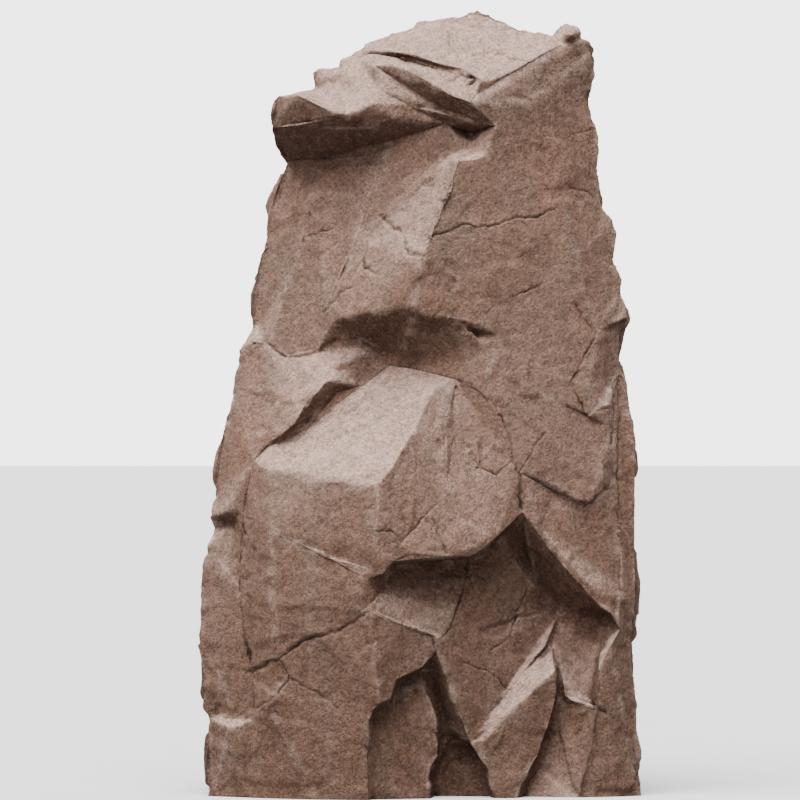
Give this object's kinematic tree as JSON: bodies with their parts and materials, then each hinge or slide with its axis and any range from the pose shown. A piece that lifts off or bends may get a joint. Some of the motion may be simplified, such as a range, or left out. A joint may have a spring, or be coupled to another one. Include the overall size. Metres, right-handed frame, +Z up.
{
  "type": "artificial rock with cave recess",
  "caption": "Free-standing hollow resin rock for a garden or pond, with an overhanging cap, a boulder and a shallow cave under it.",
  "frame": {"origin": "on the ground, in the middle of the bounding box's base", "axes": "+Z up, the face with the cave looks along -Y, +X to its right as seen from the front; the seam between the half shells is the plane y = about 0.05 m"},
  "size_m": [0.872, 0.5636, 1.55],
  "materials": {
    "resin": "stone-chip coat on glass-fibre reinforced resin, dull",
    "laminate": "bare glass-fibre laminate, unpainted",
    "rubber": "matt",
    "galvanised_steel": "hot-dip galvanised steel",
    "zinc": "zinc plated"
  },
  "bodies": {
    "root": {"front_shell": "resin", "cap_ledge": "resin", "boulder": "resin", "cave_panel": "resin", "rear_shell": "resin", "cap_ledge_joint_strip": "laminate", "boulder_joint_strip": "laminate", "cave_panel_joint_strip": "laminate", "seam_gasket": "rubber", "base_frame": "galvanised_steel", "left_upright": "galvanised_steel", "right_upright": "galvanised_steel", "lower_rail": "galvanised_steel", "upper_rail": "galvanised_steel", "front_left_foot_pad": "rubber", "rear_left_foot_pad": "rubber", "front_right_foot_pad": "rubber", "rear_right_foot_pad": "rubber", "seam_bolt_1": "zinc", "seam_nut_1": "zinc", "seam_bolt_2": "zinc", "seam_nut_2": "zinc", "seam_bolt_3": "zinc", "seam_nut_3": "zinc", "seam_bolt_4": "zinc", "seam_nut_4": "zinc", "seam_bolt_5": "zinc", "seam_nut_5": "zinc", "seam_bolt_6": "zinc", "seam_nut_6": "zinc", "seam_bolt_7": "zinc", "seam_nut_7": "zinc", "seam_bolt_8": "zinc", "seam_nut_8": "zinc", "seam_bolt_9": "zinc", "seam_nut_9": "zinc", "seam_bolt_10": "zinc", "seam_nut_10": "zinc", "seam_bolt_11": "zinc", "seam_nut_11": "zinc", "lower_left_rail_bolt": "zinc", "lower_left_rail_nut": "zinc", "lower_right_rail_bolt": "zinc", "lower_right_rail_nut": "zinc", "upper_left_rail_bolt": "zinc", "upper_left_rail_nut": "zinc", "upper_right_rail_bolt": "zinc", "upper_right_rail_nut": "zinc", "foot_plate_bolt_1": "zinc", "foot_plate_bolt_2": "zinc", "foot_plate_bolt_3": "zinc", "foot_plate_bolt_4": "zinc"}
  },
  "joints": []
}
